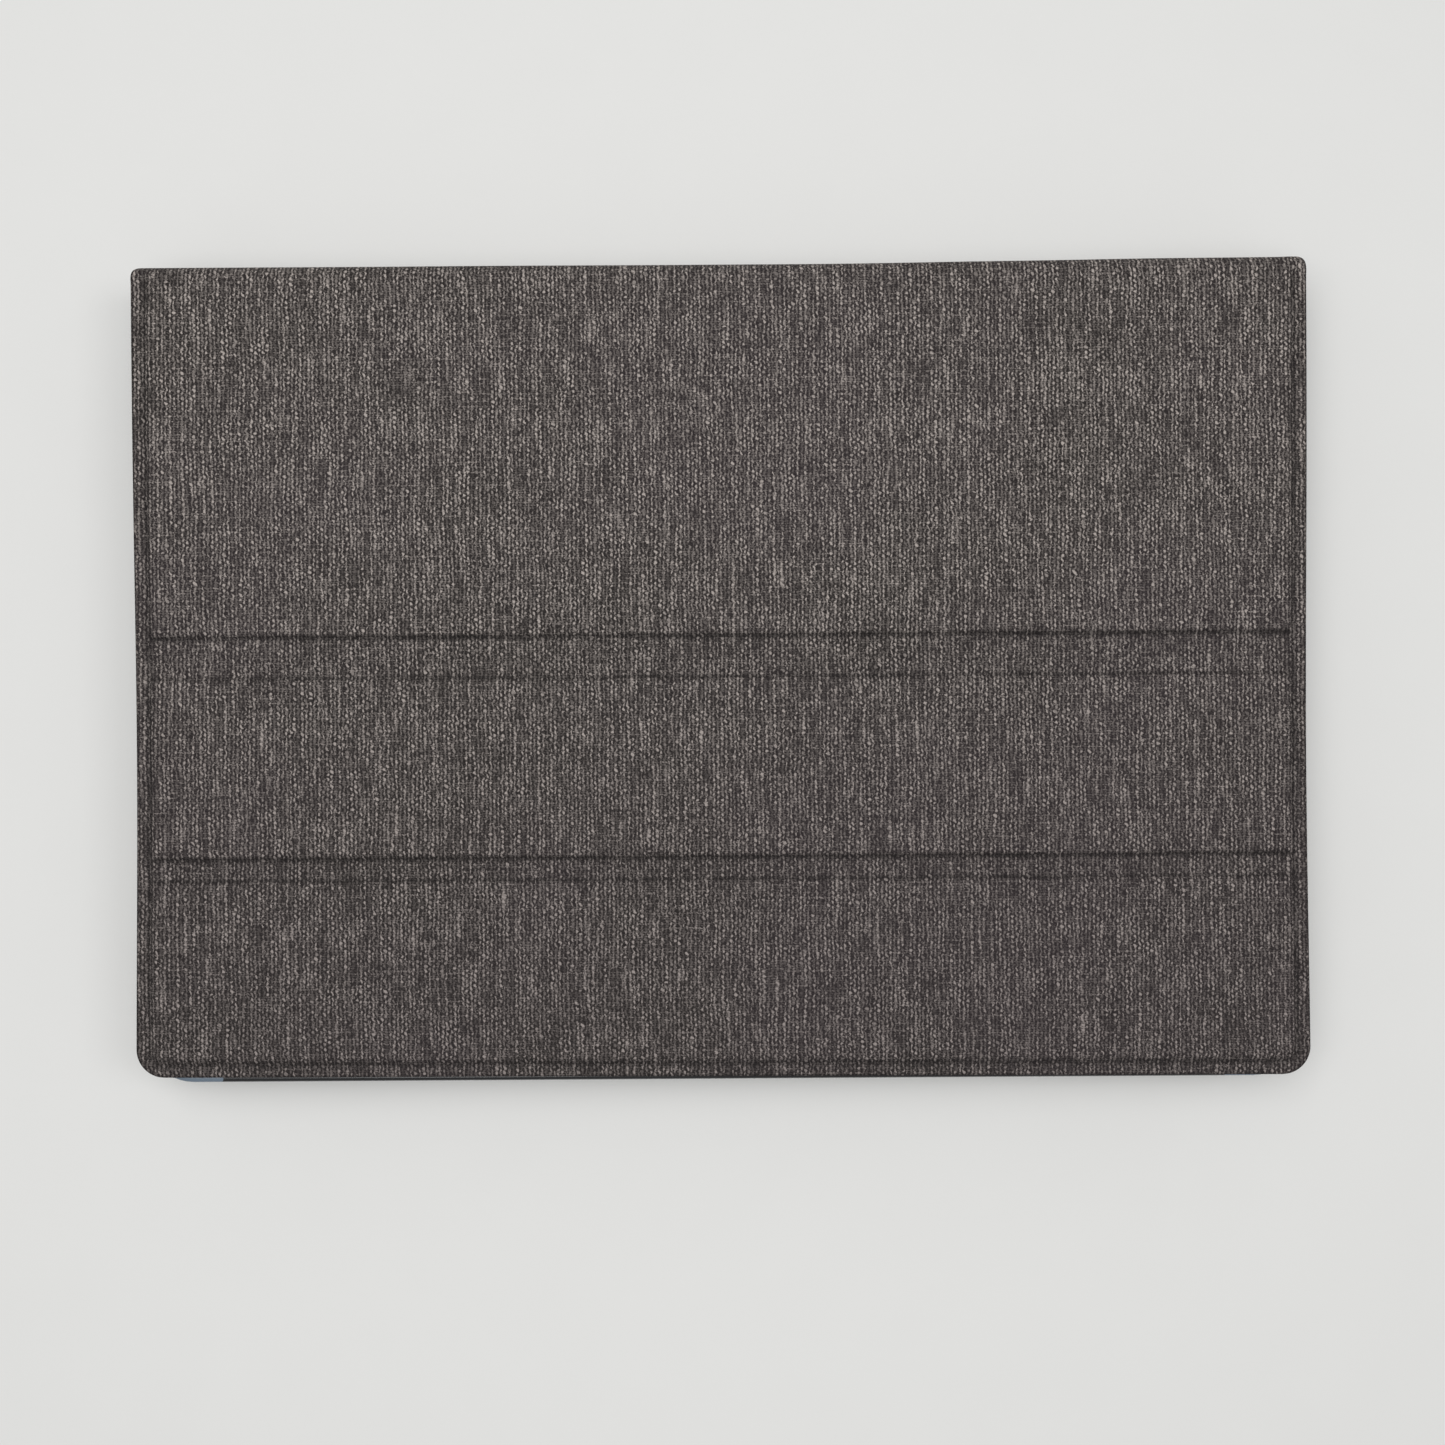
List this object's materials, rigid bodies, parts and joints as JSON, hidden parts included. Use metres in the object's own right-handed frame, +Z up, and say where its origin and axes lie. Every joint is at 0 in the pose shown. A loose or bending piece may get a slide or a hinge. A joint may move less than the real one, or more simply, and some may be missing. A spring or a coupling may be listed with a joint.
{
  "type": "tablet keyboard case",
  "caption": "Closed cloth folio case for a tablet, with a fold-out stand, a clip-in tablet tray and a slim keyboard bonded inside.",
  "frame": {"origin": "middle of the underside of the closed case, on the surface it lies on", "axes": "+X along the spine, +Y towards the spine, +Z up through the closed case"},
  "size_m": [0.252, 0.175, 0.0244],
  "materials": {
    "cover_cloth": "dark warm-grey linen-look weave",
    "lining_suede": "dark brushed microfibre",
    "cover_board": "grey pressed board",
    "magnet": "nickel-plated magnet",
    "adhesive": "pale foam tape",
    "tray_plastic": "slate-grey moulded polycarbonate",
    "bumper_rubber": "black soft frame",
    "keyboard_plastic": "fine-grained black plastic",
    "key_plastic": "matt black keycap plastic",
    "touchpad_surface": "smooth matt film",
    "steel": "stamped steel",
    "circuit": "green solder mask",
    "dome_rubber": "translucent silicone",
    "membrane_film": "printed film",
    "battery_foil": "foil pouch",
    "light_pipe": "clear light pipe",
    "rubber_foot": "soft black rubber"
  },
  "bodies": {
    "front_cover": {"front_cover_skin": "cover_cloth", "front_cover_board": "cover_board", "front_cover_lining": "lining_suede", "closure_magnets": "magnet", "keyboard_bottom_case": "keyboard_plastic", "keyboard_top_case": "keyboard_plastic", "key_backplate": "steel", "key_membrane": "membrane_film", "dome_sheet": "dome_rubber", "controller_board": "circuit", "battery_pouch": "battery_foil", "charging_port": "steel", "switch_housing": "keyboard_plastic", "status_lights": "light_pipe", "deck_bumpers": "rubber_foot", "case_screws": "steel"},
    "spine": {"spine_skin": "cover_cloth", "spine_board": "cover_board", "spine_lining": "lining_suede"},
    "back_panel": {"back_panel_skin": "cover_cloth", "back_panel_board": "cover_board", "back_panel_lining": "lining_suede", "tray_adhesive_pad": "adhesive", "tray_shell": "tray_plastic", "tray_bumper": "bumper_rubber", "tray_magnets": "magnet"},
    "upper_strip": {"upper_strip_skin": "cover_cloth", "upper_strip_lining": "lining_suede"},
    "stand_panel": {"stand_panel_skin": "cover_cloth", "stand_panel_board": "cover_board", "stand_panel_lining": "lining_suede", "stand_magnets": "magnet"},
    "lower_strip": {"lower_strip_skin": "cover_cloth", "lower_strip_lining": "lining_suede"},
    "foot_panel": {"foot_panel_skin": "cover_cloth", "foot_panel_board": "cover_board", "foot_panel_lining": "lining_suede", "foot_magnets": "magnet"},
    "touchpad": {"touchpad": "touchpad_surface", "touchpad_switch": "keyboard_plastic"},
    "power_switch": {"power_switch": "key_plastic"},
    "function_keys": {"function_keys": "key_plastic"},
    "number_keys": {"number_keys": "key_plastic"},
    "backspace_key": {"backspace_key": "key_plastic"},
    "tab_key": {"tab_key": "key_plastic"},
    "upper_letter_keys": {"upper_letter_keys": "key_plastic"},
    "backslash_key": {"backslash_key": "key_plastic"},
    "caps_lock_key": {"caps_lock_key": "key_plastic"},
    "home_letter_keys": {"home_letter_keys": "key_plastic"},
    "enter_key": {"enter_key": "key_plastic"},
    "left_shift_key": {"left_shift_key": "key_plastic"},
    "lower_letter_keys": {"lower_letter_keys": "key_plastic"},
    "right_shift_key": {"right_shift_key": "key_plastic"},
    "left_modifier_keys": {"left_modifier_keys": "key_plastic"},
    "space_bar": {"space_bar": "key_plastic"},
    "right_modifier_keys": {"right_modifier_keys": "key_plastic"},
    "arrow_keys": {"arrow_keys": "key_plastic"}
  },
  "joints": [
    {"name": "spine_lower_hinge", "type": "hinge", "parent": "front_cover", "child": "spine", "pos_m": [0, 0.0843, 0.0032], "axis": [-1, 0, 0], "range_deg": [0, 90]},
    {"name": "spine_upper_hinge", "type": "hinge", "parent": "spine", "child": "back_panel", "pos_m": [0, 0.0843, 0.0212], "axis": [-1, 0, 0], "range_deg": [0, 90]},
    {"name": "stand_fold", "type": "hinge", "parent": "back_panel", "child": "upper_strip", "pos_m": [0, 0.0083, 0.0218], "axis": [-1, 0, 0], "range_deg": [0, 60]},
    {"name": "stand_fold_second", "type": "hinge", "parent": "upper_strip", "child": "stand_panel", "pos_m": [0, -0.0006, 0.0218], "axis": [-1, 0, 0], "range_deg": [0, 60]},
    {"name": "foot_fold", "type": "hinge", "parent": "stand_panel", "child": "lower_strip", "pos_m": [0, -0.0391, 0.0218], "axis": [-1, 0, 0], "range_deg": [0, 50]},
    {"name": "foot_fold_second", "type": "hinge", "parent": "lower_strip", "child": "foot_panel", "pos_m": [0, -0.0439, 0.0218], "axis": [-1, 0, 0], "range_deg": [0, 50]},
    {"name": "function_key_travel", "type": "slide", "parent": "front_cover", "child": "function_keys", "axis": [0, 0, -1], "range_m": [0, 0.0012], "stiffness_N_per_m": 60, "springref_m": -0.006, "deforming": ["dome_sheet"]},
    {"name": "number_key_travel", "type": "slide", "parent": "front_cover", "child": "number_keys", "axis": [0, 0, -1], "range_m": [0, 0.0012], "stiffness_N_per_m": 60, "springref_m": -0.006, "deforming": ["dome_sheet"]},
    {"name": "backspace_key_travel", "type": "slide", "parent": "front_cover", "child": "backspace_key", "axis": [0, 0, -1], "range_m": [0, 0.0012], "stiffness_N_per_m": 60, "springref_m": -0.006, "deforming": ["dome_sheet"]},
    {"name": "tab_key_travel", "type": "slide", "parent": "front_cover", "child": "tab_key", "axis": [0, 0, -1], "range_m": [0, 0.0012], "stiffness_N_per_m": 60, "springref_m": -0.006, "deforming": ["dome_sheet"]},
    {"name": "upper_letter_key_travel", "type": "slide", "parent": "front_cover", "child": "upper_letter_keys", "axis": [0, 0, -1], "range_m": [0, 0.0012], "stiffness_N_per_m": 60, "springref_m": -0.006, "deforming": ["dome_sheet"]},
    {"name": "backslash_key_travel", "type": "slide", "parent": "front_cover", "child": "backslash_key", "axis": [0, 0, -1], "range_m": [0, 0.0012], "stiffness_N_per_m": 60, "springref_m": -0.006, "deforming": ["dome_sheet"]},
    {"name": "caps_lock_key_travel", "type": "slide", "parent": "front_cover", "child": "caps_lock_key", "axis": [0, 0, -1], "range_m": [0, 0.0012], "stiffness_N_per_m": 60, "springref_m": -0.006, "deforming": ["dome_sheet"]},
    {"name": "home_letter_key_travel", "type": "slide", "parent": "front_cover", "child": "home_letter_keys", "axis": [0, 0, -1], "range_m": [0, 0.0012], "stiffness_N_per_m": 60, "springref_m": -0.006, "deforming": ["dome_sheet"]},
    {"name": "enter_key_travel", "type": "slide", "parent": "front_cover", "child": "enter_key", "axis": [0, 0, -1], "range_m": [0, 0.0012], "stiffness_N_per_m": 60, "springref_m": -0.006, "deforming": ["dome_sheet"]},
    {"name": "left_shift_key_travel", "type": "slide", "parent": "front_cover", "child": "left_shift_key", "axis": [0, 0, -1], "range_m": [0, 0.0012], "stiffness_N_per_m": 60, "springref_m": -0.006, "deforming": ["dome_sheet"]},
    {"name": "lower_letter_key_travel", "type": "slide", "parent": "front_cover", "child": "lower_letter_keys", "axis": [0, 0, -1], "range_m": [0, 0.0012], "stiffness_N_per_m": 60, "springref_m": -0.006, "deforming": ["dome_sheet"]},
    {"name": "right_shift_key_travel", "type": "slide", "parent": "front_cover", "child": "right_shift_key", "axis": [0, 0, -1], "range_m": [0, 0.0012], "stiffness_N_per_m": 60, "springref_m": -0.006, "deforming": ["dome_sheet"]},
    {"name": "left_modifier_key_travel", "type": "slide", "parent": "front_cover", "child": "left_modifier_keys", "axis": [0, 0, -1], "range_m": [0, 0.0012], "stiffness_N_per_m": 60, "springref_m": -0.006, "deforming": ["dome_sheet"]},
    {"name": "space_bar_travel", "type": "slide", "parent": "front_cover", "child": "space_bar", "axis": [0, 0, -1], "range_m": [0, 0.0012], "stiffness_N_per_m": 60, "springref_m": -0.006, "deforming": ["dome_sheet"]},
    {"name": "right_modifier_key_travel", "type": "slide", "parent": "front_cover", "child": "right_modifier_keys", "axis": [0, 0, -1], "range_m": [0, 0.0012], "stiffness_N_per_m": 60, "springref_m": -0.006, "deforming": ["dome_sheet"]},
    {"name": "arrow_key_travel", "type": "slide", "parent": "front_cover", "child": "arrow_keys", "axis": [0, 0, -1], "range_m": [0, 0.0012], "stiffness_N_per_m": 60, "springref_m": -0.006, "deforming": ["dome_sheet"]},
    {"name": "touchpad_click", "type": "slide", "parent": "front_cover", "child": "touchpad", "axis": [0, 0, -1], "range_m": [0, 0.0005], "stiffness_N_per_m": 150, "springref_m": -0.006},
    {"name": "power_slide", "type": "slide", "parent": "front_cover", "child": "power_switch", "axis": [0, 1, 0], "range_m": [0, 0.0025]}
  ]
}
